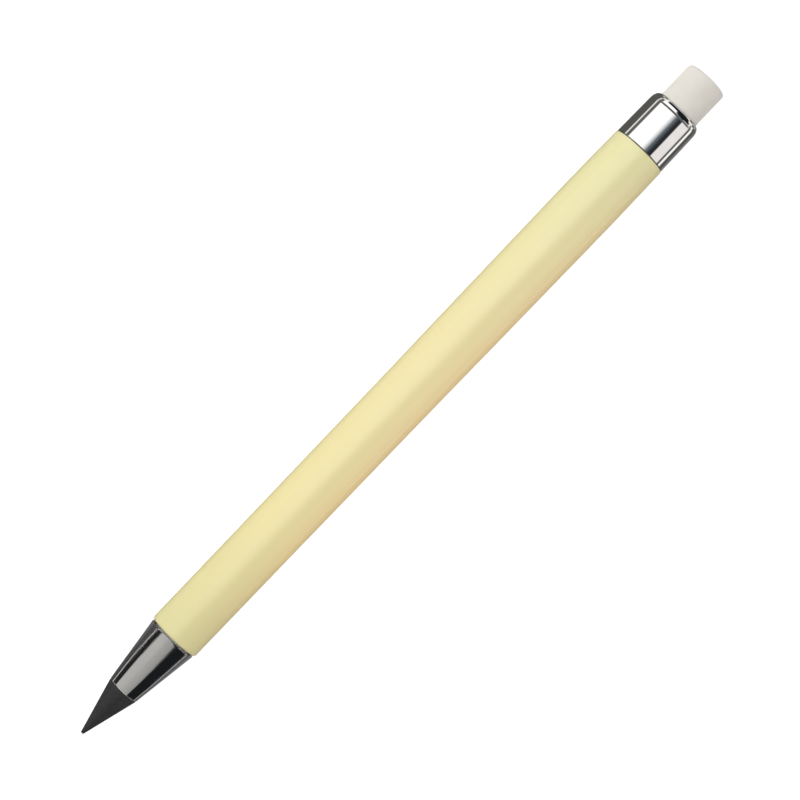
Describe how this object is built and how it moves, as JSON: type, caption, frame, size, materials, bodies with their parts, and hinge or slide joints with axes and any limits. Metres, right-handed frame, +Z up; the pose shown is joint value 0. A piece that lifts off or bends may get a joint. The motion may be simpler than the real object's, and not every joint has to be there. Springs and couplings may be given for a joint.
{
  "type": "everlasting pencil",
  "caption": "Round inkless pencil: graphite-alloy cone nib that unscrews through a chromed nose, lacquered barrel, chromed ferrule and a pull-out eraser.",
  "frame": {"origin": "centre of the footprint of the pencil lying on its side, on the surface it lies on", "axes": "+X along the pencil's axis from the tip to the eraser, +Z up from the surface it lies on"},
  "size_m": [0.15, 0.0104, 0.0103],
  "materials": {
    "graphite_alloy": "matte, finely ground",
    "steel": "turned, zinc plated",
    "chrome": "polished",
    "moulding": "natural nylon, as moulded",
    "lacquer": "satin-gloss lacquer",
    "brass": "turned",
    "eraser": "matte"
  },
  "bodies": {
    "barrel": {"barrel_tube": "lacquer", "front_bush": "moulding", "thread_insert": "brass", "rear_plug": "moulding", "ferrule": "chrome", "eraser_sleeve": "moulding"},
    "nose": {"nose_cone": "chrome", "nose_guide": "moulding"},
    "nib": {"nib": "graphite_alloy", "nib_stud": "steel", "retaining_ring": "steel"},
    "eraser": {"eraser": "eraser"}
  },
  "joints": [
    {"name": "nose_slide", "type": "slide", "parent": "barrel", "child": "nose", "axis": [-1, 0, 0], "range_m": [0, 0.0042]},
    {"name": "nib_unscrew", "type": "hinge", "parent": "nose", "child": "nib", "pos_m": [-0.065, 0, 0.00516], "axis": [-1, 0, 0], "range_deg": [0, 2160]},
    {"name": "eraser_pull", "type": "slide", "parent": "barrel", "child": "eraser", "axis": [1, 0, 0], "range_m": [0, 0.0078]}
  ],
  "couplings": [
    {"joint": "nib_unscrew", "follows": "nose_slide", "rad_per_m": 8976}
  ]
}
